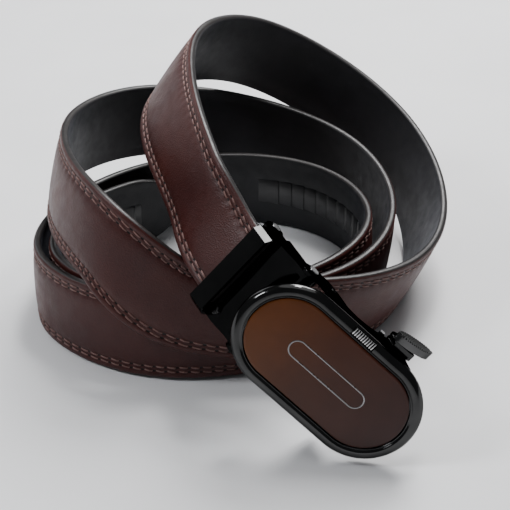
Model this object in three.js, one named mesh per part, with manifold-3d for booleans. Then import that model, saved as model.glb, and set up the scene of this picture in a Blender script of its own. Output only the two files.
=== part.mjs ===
// Gentleman's dress belt with a ratchet ("automatic") plaque buckle, coiled up on a table.
// Units are millimetres, +Z is up.  The strap is laid out as a ribbon along a space curve;
// the metal parts are drawn flat in two local frames (buckle and clamp) and moved into place.
import * as THREE from 'three';
import { mergeVertices } from 'three/addons/utils/BufferGeometryUtils.js';
import ManifoldModule from 'manifold-3d';

const wasm = await ManifoldModule();
wasm.setup();
const { Manifold, Mesh: ManifoldMesh } = wasm;

// ---------------------------------------------------------------- driving dimensions
const STRAP_WIDTH = 35;
const STRAP_HALF = STRAP_WIDTH / 2;
const STRAP_STEP = 11;           // length of one facet along the strap
const STRAP_IN_CLAMP = 7;        // straight length held by the clamp
const STRAP_SHIFT = 1.8;         // strap end pushed towards one wall of the clamp
const STRAP_END_SCALE = 0.9;     // strap end trimmed to fit the clamp
const STRAP_END_TAPER = 32;
const TIP_LENGTH = 22;           // rounded end of the strap
const TIP_HALF_WIDTH = 6;

const TRACK_HALF = 6;            // ratchet strip on the lining
const TRACK_FROM_TIP = 16;
const TRACK_PITCH = 6.35;
const TRACK_TEETH = 46;
const TRACK_LAND = 3.2;          // plain strip before and after the teeth

const FACE_STRAIGHT = 17.2;        // half length of the straight sides of the face
const INLAY_RADIUS = 16;
const BEZEL_INNER = 16.3;
const BEZEL_OUTER = 20.8;
const PLATE_OUTER = 20.3;        // back plate under the bezel
const PILL_STRAIGHT = 13.3;      // slim outline let into the inlay
const PILL_RADIUS = 3.5;

const CHEEK_INNER = 19.5;        // side cheeks of the buckle frame
const CHEEK_OUTER = 20.7;
const HINGE = { x: -26.5, z: -12.2, pin: 1.3, bore: 1.6, boss: 4.2 };
const PAWL = { x: 11.5, z: -10.8, pin: 1.2, bore: 1.5, boss: 3.1 };
const GUIDE = { x: -16.6, z: -12.4 };    // bar that the tail of the strap passes over
const STOP = { x: 5.2, z: -8.6 };
const NECK_END = 23.9;           // outer side of the release lever's neck
const PADDLE = {
  x: 16.0, z: -8.6, length: 17.2, width: 5.8, inner: 24.6, outer: 27.7, post: 13.4,
  ribPitch: 1.0, tilt: THREE.MathUtils.degToRad(26),
};
const BEZEL_RIVETS = [[22, 17.2], [-22, 17.2], [-22, -17.2], [22, -17.2]];
const STRIP_RIVETS = [[-12, 0], [24, 0]];
const CLAMP_ANGLE = THREE.MathUtils.degToRad(37);

const WALL_INNER = 17.8;         // side walls of the clamp
const WALL_OUTER = 18.9;
const CLAMP_EAR = 19.2;
const BAND = { x0: -22.3, x1: -14.8, top: 12.2, under: 10.7, flat: 17.2, shoulder: 9.8 };
const FLOOR = { top: 6.05, under: 4.3 };
const STRAP_IN_CLAMP_Z = 8.4;    // middle of the strap above the hinge axis
const JAW = { x: -23, z: -0.4, pin: 1.1, bore: 1.4, lobe: 3.8 };

// Where the buckle face lies: long axis, width axis and centre of the inlay.
const BUCKLE_LONG = new THREE.Vector3(0.742, -0.266, -0.616);
const BUCKLE_WIDE = new THREE.Vector3(0.66, 0.125, 0.741);
const BUCKLE_CENTRE = new THREE.Vector3(24.6, -120.8, 33);

// Stations of the strap from the clamp to the tip: x, y, z of the middle, and the lean of
// the strap about its own path in degrees (0 = standing upright on edge).
const STRAP_STATIONS = [
  [-24, -56.6, 74.3, 26], [-34.5, -12.5, 81.5, 37], [-30, 28, 81, 30], [-3.5, 61, 68.5, 16],
  [35, 61.5, 47.5, -3], [65, 34, 29, -16], [72, -9.5, 18, -24], [56, -51, 17.5, -18],
  [21, -76.5, 23.8, 2], [-6, -80.9, 27.6, 9], [-31, -80.9, 34.9, 13],
  [-55, -72.2, 52.9, 17], [-71, -48, 55.3, 17], [-78, 8, 49.4, 10],
  [-48.5, 49, 40, 3], [3, 54, 30.5, 0], [41.5, 31, 23, -6], [55, -15.5, 18, -6],
  [35, -57.5, 17.5, -1], [-6, -77.6, 17.8, 12], [-57.5, -74.2, 17.7, 6], [-86, -45, 17.6, 2],
  [-76, -6, 17.5, 1], [-44, 21.5, 17.5, 2], [-3, 28, 17.5, 1], [32, 13.5, 17.5, 0],
  [46.5, -19.5, 17.5, 0], [27.5, -54.5, 17.5, 0], [-9, -71, 17.5, 0], [-51.5, -70, 17.5, 0],
  [-79, -46, 17.5, 0], [-69.5, -9, 17.5, 2], [-36, 14, 17.7, 6],
];

// ---------------------------------------------------------------- local frames
function buckleFrame() {
  const x = BUCKLE_LONG.clone().normalize();
  const z = x.clone().cross(BUCKLE_WIDE).normalize();
  const y = z.clone().cross(x);
  return new THREE.Matrix4().makeBasis(x, y, z).setPosition(BUCKLE_CENTRE);
}

// The clamp frame sits on the hinge axis; its X runs from the strap towards the buckle.
function clampFrame(buckle) {
  return buckle.clone()
    .multiply(new THREE.Matrix4().makeTranslation(HINGE.x, 0, HINGE.z))
    .multiply(new THREE.Matrix4().makeRotationY(-CLAMP_ANGLE));
}

const BUCKLE = buckleFrame();
const CLAMP = clampFrame(BUCKLE);

// ---------------------------------------------------------------- booleans and small solids
function toManifold(geometry) {
  const bare = new THREE.BufferGeometry();
  bare.setAttribute('position', geometry.getAttribute('position').clone());
  if (geometry.index) bare.setIndex(geometry.index.clone());
  const merged = mergeVertices(bare, 1e-4);
  return new Manifold(new ManifoldMesh({
    numProp: 3,
    vertProperties: new Float32Array(merged.getAttribute('position').array),
    triVerts: new Uint32Array(merged.index.array),
  }));
}

function fromManifold(solid) {
  const mesh = solid.getMesh();
  const geometry = new THREE.BufferGeometry();
  geometry.setAttribute('position', new THREE.BufferAttribute(mesh.vertProperties, 3));
  geometry.setIndex(new THREE.BufferAttribute(mesh.triVerts, 1));
  return geometry;
}

const add = (...parts) => parts.map(toSolid).reduce((a, b) => a.add(b));
const cut = (body, ...tools) => tools.map(toSolid).reduce((a, b) => a.subtract(b), toSolid(body));
const toSolid = (part) => (part.isBufferGeometry ? toManifold(part) : part);

function box(x0, x1, y0, y1, z0, z1) {
  const geometry = new THREE.BoxGeometry(x1 - x0, y1 - y0, z1 - z0);
  return geometry.translate((x0 + x1) / 2, (y0 + y1) / 2, (z0 + z1) / 2);
}

// Round bar along Y.
function barY(x, z, radius, y0, y1, sides = 18) {
  const geometry = new THREE.CylinderGeometry(radius, radius, y1 - y0, sides);
  return geometry.translate(x, (y0 + y1) / 2, z);
}

// Round bar along Z.
function barZ(x, y, radius, z0, z1, sides = 12) {
  const geometry = new THREE.CylinderGeometry(radius, radius, z1 - z0, sides);
  return geometry.rotateX(Math.PI / 2).translate(x, y, (z0 + z1) / 2);
}

// Flat plate whose outline is drawn in X and Z and whose thickness runs along Y.
function plateXZ(outline, y0, y1) {
  const shape = new THREE.Shape(outline.map(([x, z]) => new THREE.Vector2(x, z)));
  const geometry = new THREE.ExtrudeGeometry(shape, { depth: y1 - y0, bevelEnabled: false });
  return geometry.rotateX(Math.PI / 2).translate(0, y1, 0);
}

// Bar whose section is drawn in Y and Z and whose length runs along X.
function barX(section, x0, x1) {
  const shape = new THREE.Shape(section.map(([y, z]) => new THREE.Vector2(y, z)));
  const geometry = new THREE.ExtrudeGeometry(shape, { depth: x1 - x0, bevelEnabled: false });
  const turn = new THREE.Matrix4().makeBasis(
    new THREE.Vector3(0, 1, 0), new THREE.Vector3(0, 0, 1), new THREE.Vector3(1, 0, 0));
  return geometry.applyMatrix4(turn).translate(x0, 0, 0);
}

function stadiumShape(straight, radius) {
  const shape = new THREE.Shape();
  shape.absarc(straight, 0, radius, -Math.PI / 2, Math.PI / 2, false);
  shape.absarc(-straight, 0, radius, Math.PI / 2, 3 * Math.PI / 2, false);
  return shape;
}

function stadiumPlate(straight, radius, z0, z1, round = 0, segments = 16) {
  const geometry = new THREE.ExtrudeGeometry(stadiumShape(straight, radius - round), {
    depth: z1 - z0 - 2 * round,
    curveSegments: segments,
    bevelEnabled: round > 0,
    bevelSize: round,
    bevelThickness: round,
    bevelSegments: 1,
  });
  return geometry.translate(0, 0, z0 + round);
}

// Ring that follows a stadium; the profile lists [radius, z] counter-clockwise.
function stadiumRing(straight, profile, segments) {
  const stations = [];
  for (const side of [1, -1]) {
    for (let i = 0; i <= segments; i += 1) {
      stations.push([side * straight, Math.PI * (i / segments - side / 2)]);
    }
  }
  const positions = [];
  for (const [centre, angle] of stations) {
    for (const [radius, z] of profile) {
      positions.push(centre + radius * Math.cos(angle), radius * Math.sin(angle), z);
    }
  }
  const index = [];
  const n = profile.length;
  for (let i = 0; i < stations.length; i += 1) {
    const next = (i + 1) % stations.length;
    for (let j = 0; j < n; j += 1) {
      const k = (j + 1) % n;
      const [a, b, c, d] = [i * n + j, next * n + j, next * n + k, i * n + k];
      index.push(a, b, c, a, c, d);
    }
  }
  const geometry = new THREE.BufferGeometry();
  geometry.setAttribute('position', new THREE.Float32BufferAttribute(positions, 3));
  geometry.setIndex(index);
  return geometry;
}

function arcPoints(cx, cz, radius, from, to, steps) {
  const points = [];
  for (let i = 0; i <= steps; i += 1) {
    const angle = THREE.MathUtils.degToRad(from + ((to - from) * i) / steps);
    points.push([cx + radius * Math.cos(angle), cz + radius * Math.sin(angle)]);
  }
  return points;
}

// ---------------------------------------------------------------- strap path
// Cubic spline through (t, value) with a given slope at the start and a free end.
function cubicSpline(t, value, startSlope) {
  const n = t.length;
  const h = t.slice(1).map((v, i) => v - t[i]);
  const step = value.slice(1).map((v, i) => (v - value[i]) / h[i]);
  const diagonal = [2 * h[0]];
  const right = [6 * (step[0] - startSlope)];
  for (let i = 1; i < n - 1; i += 1) {
    const factor = h[i - 1] / diagonal[i - 1];
    diagonal.push(2 * (h[i - 1] + h[i]) - factor * h[i - 1]);
    right.push(6 * (step[i] - step[i - 1]) - factor * right[i - 1]);
  }
  const bend = new Array(n).fill(0);
  for (let i = n - 2; i >= 0; i -= 1) bend[i] = (right[i] - h[i] * bend[i + 1]) / diagonal[i];
  return (at) => {
    let i = 0;
    while (i < n - 2 && at > t[i + 1]) i += 1;
    const a = (t[i + 1] - at) / h[i];
    const b = 1 - a;
    const curve = ((a ** 3 - a) * bend[i] + (b ** 3 - b) * bend[i + 1]) * h[i] ** 2 / 6;
    return a * value[i] + b * value[i + 1] + curve;
  };
}

function strapPath() {
  const start = new THREE.Vector3(BAND.x0 - 0.7, STRAP_SHIFT, STRAP_IN_CLAMP_Z).applyMatrix4(CLAMP);
  const out = new THREE.Vector3(-1, 0, 0).transformDirection(CLAMP);
  const wide = new THREE.Vector3(0, 1, 0).transformDirection(CLAMP);
  const points = [start, ...STRAP_STATIONS.map(([x, y, z]) => new THREE.Vector3(x, y, z))];
  const lean = [STRAP_STATIONS[0][3], ...STRAP_STATIONS.map((row) => row[3])];
  const t = [0];
  points.slice(1).forEach((p, i) => t.push(t[i] + p.distanceTo(points[i]) * 1.025));
  const axes = ['x', 'y', 'z'].map((k) => cubicSpline(t, points.map((p) => p[k]), out[k]));
  const leanAt = cubicSpline(t, lean, 0);
  const position = (s) => (s < 0
    ? start.clone().addScaledVector(out, s)
    : new THREE.Vector3(axes[0](s), axes[1](s), axes[2](s)));
  const frame = (s) => {
    const ahead = position(s + 0.5).sub(position(s - 0.5)).normalize();
    const along = s <= 0 ? out : ahead;
    const upright = new THREE.Vector3(0, 0, 1).addScaledVector(along, -along.z).normalize();
    const angle = THREE.MathUtils.degToRad(leanAt(Math.max(s, 0)));
    const leaning = upright.clone().applyAxisAngle(along, angle);
    const free = THREE.MathUtils.smoothstep(s, 2, 36);
    const across = wide.clone().lerp(leaning, free);
    across.addScaledVector(along, -across.dot(along)).normalize();
    const outward = across.clone().cross(along);
    return { point: position(s), across, outward };
  };
  return { from: -STRAP_IN_CLAMP, to: t[t.length - 1], frame };
}

const PATH = strapPath();

// Share of the full strap width: trimmed for the clamp, narrowed to a rounded tip.
function widthScale(s) {
  const left = PATH.to - s;
  if (left >= TIP_LENGTH) {
    return STRAP_END_SCALE + (1 - STRAP_END_SCALE) * THREE.MathUtils.smoothstep(s, 0, STRAP_END_TAPER);
  }
  const round = Math.sqrt(1 - (1 - left / TIP_LENGTH) ** 2);
  return (TIP_HALF_WIDTH + (STRAP_HALF - TIP_HALF_WIDTH) * round) / STRAP_HALF;
}

function evenStations(from, to, step) {
  const count = Math.ceil((to - from) / step);
  return Array.from({ length: count + 1 }, (_, i) => from + ((to - from) * i) / count);
}

function strapStations() {
  const body = evenStations(PATH.from, PATH.to - TIP_LENGTH, STRAP_STEP);
  const tip = [0.28, 0.52, 0.72, 0.87, 0.96, 1].map((f) => PATH.to - TIP_LENGTH * (1 - f));
  return [...body, ...tip];
}

const STRAP_CUTS = strapStations();

// Frame of the faceted strap between two of its cuts.
function facetFrame(s) {
  const after = STRAP_CUTS.findIndex((cutAt) => cutAt > s);
  const i = (after < 0 ? STRAP_CUTS.length - 1 : after) - 1;
  const [a, b] = [PATH.frame(STRAP_CUTS[i]), PATH.frame(STRAP_CUTS[i + 1])];
  const share = (s - STRAP_CUTS[i]) / (STRAP_CUTS[i + 1] - STRAP_CUTS[i]);
  return {
    point: a.point.lerp(b.point, share),
    across: a.across.lerp(b.across, share),
    outward: a.outward.lerp(b.outward, share),
  };
}

// Sweeps a section along the strap.  The section lists [across, outward] pairs and may
// change from station to station as long as it keeps the same number of points.
function sweepStrap(stations, sectionAt) {
  const positions = [];
  const sections = stations.map((s, i) => sectionAt(s, i));
  stations.forEach((s, i) => {
    const { point, across, outward } = facetFrame(s);
    for (const [a, o] of sections[i]) {
      const p = point.clone().addScaledVector(across, a).addScaledVector(outward, o);
      positions.push(p.x, p.y, p.z);
    }
  });
  const n = sections[0].length;
  const index = [];
  for (let i = 0; i < stations.length - 1; i += 1) {
    for (let j = 0; j < n; j += 1) {
      const k = (j + 1) % n;
      const [a, b, c, d] = [i * n + j, i * n + k, (i + 1) * n + k, (i + 1) * n + j];
      // Facets of neighbouring layers are split along the same diagonal.
      if (sections[i][j][0] < sections[i][k][0]) index.push(a, c, b, a, d, c);
      else index.push(a, d, b, b, d, c);
    }
  }
  const last = (stations.length - 1) * n;
  const flat = (i) => sections[i].map(([a, o]) => new THREE.Vector2(a, o));
  for (const [a, b, c] of THREE.ShapeUtils.triangulateShape(flat(0), [])) index.push(a, b, c);
  for (const [a, b, c] of THREE.ShapeUtils.triangulateShape(flat(stations.length - 1), [])) {
    index.push(last + a, last + c, last + b);
  }
  const geometry = new THREE.BufferGeometry();
  geometry.setAttribute('position', new THREE.Float32BufferAttribute(positions, 3));
  geometry.setIndex(index);
  return geometry;
}

// Layers of the strap, as half sections mirrored about the middle.
const mirrored = (half) => [...half, ...half.slice().reverse().map(([a, o]) => [-a, o])];
const OUTER_LEATHER = mirrored([[17.1, 0.5], [17.5, 0.6], [17.5, 1.2], [13, 1.6], [6, 1.9]]);
const CORE = mirrored([[17.1, -0.3], [17.1, 0.2]]);
const LINING = mirrored([[6.5, -1.35], [6.5, -1.9], [17.1, -1.7], [17.4, -1.1], [17.1, -0.6]]);

const layer = (half) => sweepStrap(STRAP_CUTS, (s) => {
  const scale = widthScale(s);
  return half.map(([a, o]) => [Math.abs(a) > 7 ? a * scale : a * Math.min(1, scale * 1.2), o]);
});

function ratchetTrack() {
  const end = PATH.to - TRACK_FROM_TIP;
  const start = end - TRACK_TEETH * TRACK_PITCH - 2 * TRACK_LAND;
  const knots = [[start, -2.0], [start + TRACK_LAND, -2.0]];
  for (let i = 0; i < TRACK_TEETH; i += 1) {
    const s = start + TRACK_LAND + i * TRACK_PITCH;
    knots.push([s + 0.4, -1.85], [s + TRACK_PITCH - 0.2, -2.4], [s + TRACK_PITCH, -2.0]);
  }
  knots.push([end, -2.0]);
  const depthAt = (s) => {
    const i = knots.findIndex(([at]) => at >= s);
    const [[s0, d0], [s1, d1]] = [knots[Math.max(0, i - 1)], knots[Math.max(1, i)]];
    return THREE.MathUtils.mapLinear(s, s0, s1, d0, d1);
  };
  const bends = STRAP_CUTS.filter((s) => s > start && s < end
    && knots.every(([at]) => Math.abs(at - s) > 0.15));
  const stations = [...knots.map(([at]) => at), ...bends].sort((a, b) => a - b);
  return sweepStrap(stations, (s) => [
    [-TRACK_HALF, -1.62], [-TRACK_HALF, depthAt(s)], [TRACK_HALF, depthAt(s)], [TRACK_HALF, -1.62],
  ]);
}

// ---------------------------------------------------------------- clamp (clamp frame)
function clampBody() {
  const { x0, x1, top, under, flat, shoulder } = BAND;
  const bridge = barX([
    [-WALL_OUTER, FLOOR.under], [WALL_OUTER, FLOOR.under], [WALL_OUTER, shoulder],
    [flat, top], [-flat, top], [-WALL_OUTER, shoulder],
  ], x0, x1);
  const strapSlot = box(x0 - 1, x1 + 1, -WALL_INNER, WALL_INNER, FLOOR.top, under);
  const floorPlate = plateXZ([
    [x0, FLOOR.under], [x0, FLOOR.top], [-12.2, FLOOR.top], [-9.2, 5.2], [-2.2, 2.2],
    [-2.2, -0.5], [-9.2, 2.2], [-12.2, FLOOR.under],
  ], -CLAMP_EAR, CLAMP_EAR);
  const barrel = barY(0, 0, 2.7, -CLAMP_EAR, CLAMP_EAR);
  const toothWindow = box(-21.6, -16.3, -14, 14, 0, FLOOR.top + 0.1);
  const parts = [bridge, floorPlate, barrel];
  for (const side of [-1, 1]) {
    const wall = (outline, from, to) => plateXZ(outline, ...(side > 0 ? [from, to] : [-to, -from]));
    parts.push(wall([
      [-16.4, FLOOR.under + 0.6], [-17.2, -4.2], [-5, -4.4], ...arcPoints(0, 0, 3.8, -110, 110, 10),
      [-4.5, 3.6],
    ].reverse(), 17.0, CLAMP_EAR));
    parts.push(wall([
      [x1, FLOOR.under + 0.6], [x0 - 2.2, FLOOR.under + 0.6],
      ...arcPoints(JAW.x, JAW.z, JAW.lobe, 150, 330, 10), [-16.5, -2.5],
    ], WALL_INNER, WALL_OUTER));
  }
  return cut(add(...parts), strapSlot, toothWindow,
    barY(0, 0, HINGE.bore, -30, 30),
    barY(JAW.x, JAW.z, JAW.bore, -30, 30),
    barZ(-13.2, -14.4, 1.15, 0, 10));
}

// Toothed cam plate behind the clamp; its tail is the flap that is pressed shut.
function clampJaw() {
  const outline = [
    ...arcPoints(JAW.x, JAW.z, 3.2, 60, 260, 12),
    [-21, -3.9], [-9.5, -3.4], [-8.6, -2.7], [-9.5, -2.0], [-18.4, -2.0], [-18.2, 1.5],
    [-18.0, 5.75], [-18.8, 4.4], [-19.4, 5.75], [-20.2, 4.4], [-20.8, 5.7], [-20.9, 2.4],
  ];
  return cut(plateXZ(outline, -13.7, 13.7), barY(JAW.x, JAW.z, JAW.bore, -30, 30));
}

const headedPin = (x, z, radius, half, head, headRadius) => add(
  barY(x, z, radius, -half - 0.1, half + 0.1),
  barY(x, z, headRadius, half, half + head),
  barY(x, z, headRadius, -half - head, -half),
);

function lockScrew() {
  return cut(
    add(barZ(-13.2, -14.4, 0.85, 3.2, 6.6), barZ(-13.2, -14.4, 1.7, 6.35, 8.2, 20)),
    box(-15.2, -11.2, -14.65, -14.15, 7.7, 9),
  );
}

// ---------------------------------------------------------------- buckle (buckle frame)
function cheekOutline() {
  return [
    [-18.6, -2.7], [-19.1, -6.6], [-22, -8.4],
    ...arcPoints(HINGE.x, HINGE.z, HINGE.boss, 60, 270, 14),
    [-19.5, -15.8], [-14.6, -12.9], [-9.8, -8.8], [-5.5, -7.6], [-1, -7.9], [3, -9.2], [7, -11.4],
    ...arcPoints(PAWL.x, PAWL.z, PAWL.boss, 215, 350, 10),
    [17.4, -7.8], [18.6, -5.4], [20.2, -2.7],
  ];
}

function buckleCasting() {
  const base = stadiumPlate(FACE_STRAIGHT, PLATE_OUTER, -3.9, -2.6);
  const cheeks = [-1, 1].map((side) => plateXZ(cheekOutline().reverse(),
    side > 0 ? CHEEK_INNER : -CHEEK_OUTER, side > 0 ? CHEEK_OUTER : -CHEEK_INNER));
  const rivetBores = [...BEZEL_RIVETS, ...STRIP_RIVETS].map(([x, y]) => barZ(x, y, 1, -6, 0));
  const lightening = stadiumPlate(6, 5, -5, 0, 0, 8);
  return cut(add(base, ...cheeks), lightening, ...rivetBores,
  barY(HINGE.x, HINGE.z, HINGE.bore, -30, 30),
  barY(PAWL.x, PAWL.z, PAWL.bore, -30, 30),
  barY(GUIDE.x, GUIDE.z, 1.3, -30, 30),
  barY(STOP.x, STOP.z, 0.95, 0, 30));
}

function bezel() {
  const ring = stadiumRing(FACE_STRAIGHT, [
    [BEZEL_INNER, -2.3], [BEZEL_OUTER, -2.3], [BEZEL_OUTER, -1.3], [19.8, 0.2], [19.2, 0.5],
    [17.6, 0.5], [BEZEL_INNER, 0.1],
  ], 20);
  const ribSeat = box(-4.9, 5.1, 17.25, 22, -0.6, 2);
  const bores = BEZEL_RIVETS.map(([x, y]) => barZ(x, y, 1, -3, -0.9));
  return cut(ring, ribSeat, ...bores);
}

// Patch of fine ribs let into the top side of the bezel.
function ribInsert() {
  const outline = [[-4.6, -0.3], [4.8, -0.3]];
  const ribs = 13;
  const pitch = 9.4 / ribs;
  for (let i = 0; i < ribs; i += 1) {
    const x = 4.8 - i * pitch;
    outline.push([x - 0.12, 0.15], [x - 0.27, 0.6], [x - 0.45, 0.6], [x - 0.6, 0.15]);
  }
  return plateXZ(outline.reverse(), 17.55, 20.2);
}

function inlay() {
  const plate = stadiumPlate(FACE_STRAIGHT, INLAY_RADIUS, -1.5, 0, 0.25, 20);
  return cut(plate, stadiumRing(PILL_STRAIGHT, [
    [PILL_RADIUS - 0.7, -0.8], [PILL_RADIUS + 0.25, -0.8], [PILL_RADIUS + 0.25, 1],
    [PILL_RADIUS - 0.7, 1],
  ], 8));
}

const pillOutline = () => stadiumRing(PILL_STRAIGHT, [
  [PILL_RADIUS - 0.45, -0.5], [PILL_RADIUS, -0.5], [PILL_RADIUS, 0.06],
  [PILL_RADIUS - 0.45, 0.06],
], 8);

const inlayPad = () => stadiumPlate(FACE_STRAIGHT, 15.5, -2.3, -1.8);

function wearStrip() {
  const strip = stadiumPlate(12, 15, -4.7, -4.2, 0, 12).translate(6, 0, 0);
  return cut(strip, ...STRIP_RIVETS.map(([x, y]) => barZ(x, y, 1, -6, 0)));
}

function bezelRivet([x, y]) {
  return add(barZ(x, y, 0.7, -4.5, -1.2), barZ(x, y, 1.35, -4.8, -4.2));
}

function stripRivet([x, y]) {
  return barZ(x, y, 0.7, -4.65, -2.65);
}

function guideBar() {
  const rod = barY(GUIDE.x, GUIDE.z, 1.0, -CHEEK_OUTER, CHEEK_OUTER);
  return add(rod, barY(GUIDE.x, GUIDE.z, 1.7, -19.1, 19.1));
}

function stopPin() {
  return add(barY(STOP.x, STOP.z, 0.65, 18.9, 22.2, 16), barY(STOP.x, STOP.z, 1.15, 21, 22.4, 16));
}

// ---------------------------------------------------------------- release (buckle frame)
function pawlPlate() {
  const outline = [
    ...arcPoints(PAWL.x, PAWL.z, 2.5, -90, 90, 10),
    [8, -9.6], [-1.5, -10.2], [-2.4, -9.0], [-3.2, -10.2], [-4.4, -9.0], [-5.2, -10.4],
    [-5.2, -11.8], [4, -12.4],
  ];
  const wide = plateXZ(outline, -9, 9);
  return cut(wide, barY(PAWL.x, PAWL.z, PAWL.bore, -30, 30));
}

const pawlPin = () => barY(PAWL.x, PAWL.z, PAWL.pin, -21.2, 22.6);

// Neck of the release lever, outside the cheek, on the end of the pawl pin: a turned boss
// with two flanges and a block that carries the post of the paddle.
function releaseNeck() {
  const block = plateXZ([
    ...arcPoints(PAWL.x, PAWL.z, 2.7, 110, 300, 10), [18.2, -10.2], [18.8, -7.4], [17.4, -6.2],
    [10.6, -6.4],
  ], 21.0, NECK_END);
  const flanges = [[21.0, 21.9], [22.7, NECK_END]].map(([from, to]) => (
    barY(PAWL.x, PAWL.z, 3.5, from, to, 20)));
  const post = barY(PADDLE.post, -8.4, 1.3, NECK_END - 0.2, PADDLE.inner + 0.6, 16);
  return cut(add(block, ...flanges, post), barY(PAWL.x, PAWL.z, PAWL.bore, 20, 22.9));
}

// Oval thumb pad with ribs across its outer side.
function releasePaddle() {
  const { x, z, length, width, inner, outer, tilt, ribPitch } = PADDLE;
  const pad = new THREE.CylinderGeometry(length / 2, length / 2, outer - inner, 28);
  pad.scale(1, 1, width / length).rotateY(tilt).translate(x, (inner + outer) / 2, z);
  const grooves = [];
  for (let i = -8; i <= 8; i += 1) {
    const groove = new THREE.BoxGeometry(0.45, 1.1, width + 2);
    groove.translate(i * ribPitch, outer, 0).rotateY(tilt).translate(x, 0, z);
    grooves.push(groove);
  }
  return cut(pad, ...grooves, barY(PADDLE.post, -8.4, 1.6, inner - 1, inner + 0.9, 16));
}

class Helix extends THREE.Curve {
  getPoint(t, target = new THREE.Vector3()) {
    const angle = t * Math.PI * 2 * 4.5;
    return target.set(PAWL.x + 3.3 * Math.cos(angle), 10.4 + t * 5.4, PAWL.z + 3.3 * Math.sin(angle));
  }
}

function returnSpring() {
  const wire = new THREE.Shape().absarc(0, 0, 0.4, 0, Math.PI * 2, false);
  return new THREE.ExtrudeGeometry(wire, {
    steps: 54, curveSegments: 3, bevelEnabled: false, extrudePath: new Helix(),
  });
}

// ---------------------------------------------------------------- assembly
const COLOURS = {
  leather: 0x3a211d, core: 0x6b5847, lining: 0x1a1a1c, track: 0x101012, metal: 0x2a2b2f,
  bright: 0x9a9da3, inlay: 0x4a2a1e, pad: 0x222222,
};

function node(group, name, shape, colour, frame) {
  const source = shape.isBufferGeometry ? fromManifold(toManifold(shape)) : fromManifold(shape);
  const geometry = source.toNonIndexed();
  if (frame) geometry.applyMatrix4(frame);
  geometry.computeVertexNormals();
  const metal = colour === 'metal' || colour === 'bright';
  const material = new THREE.MeshStandardMaterial({
    color: COLOURS[colour], metalness: metal ? 0.9 : 0, roughness: metal ? 0.25 : 0.6,
  });
  material.name = name;
  const mesh = new THREE.Mesh(geometry, material);
  mesh.name = name;
  group.add(mesh);
}

// Moves the whole belt so that the middle of its box stands on the origin.
function standOnOrigin(group) {
  const bounds = new THREE.Box3().setFromObject(group);
  const middle = bounds.getCenter(new THREE.Vector3());
  group.children.forEach((mesh) => mesh.geometry.translate(-middle.x, -middle.y, -bounds.min.z));
}

function build() {
  const group = new THREE.Group();
  node(group, 'strap_outer_leather', layer(OUTER_LEATHER), 'leather');
  node(group, 'strap_core', layer(CORE), 'core');
  node(group, 'strap_lining', layer(LINING), 'lining');
  node(group, 'ratchet_track', ratchetTrack(), 'track');
  node(group, 'clamp_body', clampBody(), 'metal', CLAMP);
  node(group, 'clamp_jaw', clampJaw(), 'metal', CLAMP);
  node(group, 'jaw_pin', headedPin(JAW.x, JAW.z, JAW.pin, 19.2, 0.7, 1.9), 'bright', CLAMP);
  node(group, 'clamp_lock_screw', lockScrew(), 'bright', CLAMP);
  node(group, 'hinge_pin', headedPin(HINGE.x, HINGE.z, HINGE.pin, 21, 0.6, 2), 'bright', BUCKLE);
  node(group, 'buckle_frame', buckleCasting(), 'metal', BUCKLE);
  node(group, 'bezel_ring', bezel(), 'metal', BUCKLE);
  node(group, 'bezel_rib_insert', ribInsert(), 'bright', BUCKLE);
  node(group, 'face_inlay', inlay(), 'inlay', BUCKLE);
  node(group, 'inlay_outline', pillOutline(), 'bright', BUCKLE);
  node(group, 'inlay_pad', inlayPad(), 'pad', BUCKLE);
  node(group, 'tail_wear_strip', wearStrip(), 'pad', BUCKLE);
  BEZEL_RIVETS.forEach((p, i) => node(group, `bezel_rivet_${i + 1}`, bezelRivet(p), 'bright', BUCKLE));
  STRIP_RIVETS.forEach((p, i) => node(group, `strip_rivet_${i + 1}`, stripRivet(p), 'bright', BUCKLE));
  node(group, 'tail_guide_bar', guideBar(), 'metal', BUCKLE);
  node(group, 'release_stop_pin', stopPin(), 'bright', BUCKLE);
  node(group, 'pawl_plate', pawlPlate(), 'metal', BUCKLE);
  node(group, 'pawl_pin', pawlPin(), 'bright', BUCKLE);
  node(group, 'release_neck', releaseNeck(), 'metal', BUCKLE);
  node(group, 'release_paddle', releasePaddle(), 'metal', BUCKLE);
  node(group, 'pawl_return_spring', returnSpring(), 'bright', BUCKLE);
  standOnOrigin(group);
  return group;
}

export default build();
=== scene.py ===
"""Looks of the coiled dress belt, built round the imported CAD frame.  Lengths are written in
millimetres and turned into metres where a mesh is made."""
import math

import bmesh
import bpy
import numpy as np
from mathutils import Matrix, Vector


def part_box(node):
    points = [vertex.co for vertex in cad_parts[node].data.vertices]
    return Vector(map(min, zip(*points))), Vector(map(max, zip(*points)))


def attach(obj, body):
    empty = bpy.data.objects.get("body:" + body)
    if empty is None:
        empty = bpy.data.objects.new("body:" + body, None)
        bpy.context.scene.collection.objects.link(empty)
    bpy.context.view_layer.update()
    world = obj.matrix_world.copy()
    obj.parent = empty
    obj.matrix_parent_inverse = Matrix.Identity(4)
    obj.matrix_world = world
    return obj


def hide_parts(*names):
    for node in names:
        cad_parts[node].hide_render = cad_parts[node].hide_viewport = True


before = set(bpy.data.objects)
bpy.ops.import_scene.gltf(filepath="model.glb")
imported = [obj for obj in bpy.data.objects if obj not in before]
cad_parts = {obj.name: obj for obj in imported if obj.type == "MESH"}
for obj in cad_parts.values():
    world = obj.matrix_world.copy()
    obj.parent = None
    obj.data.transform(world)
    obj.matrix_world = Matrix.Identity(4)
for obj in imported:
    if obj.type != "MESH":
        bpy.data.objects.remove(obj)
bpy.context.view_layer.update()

MM = 0.001

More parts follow.
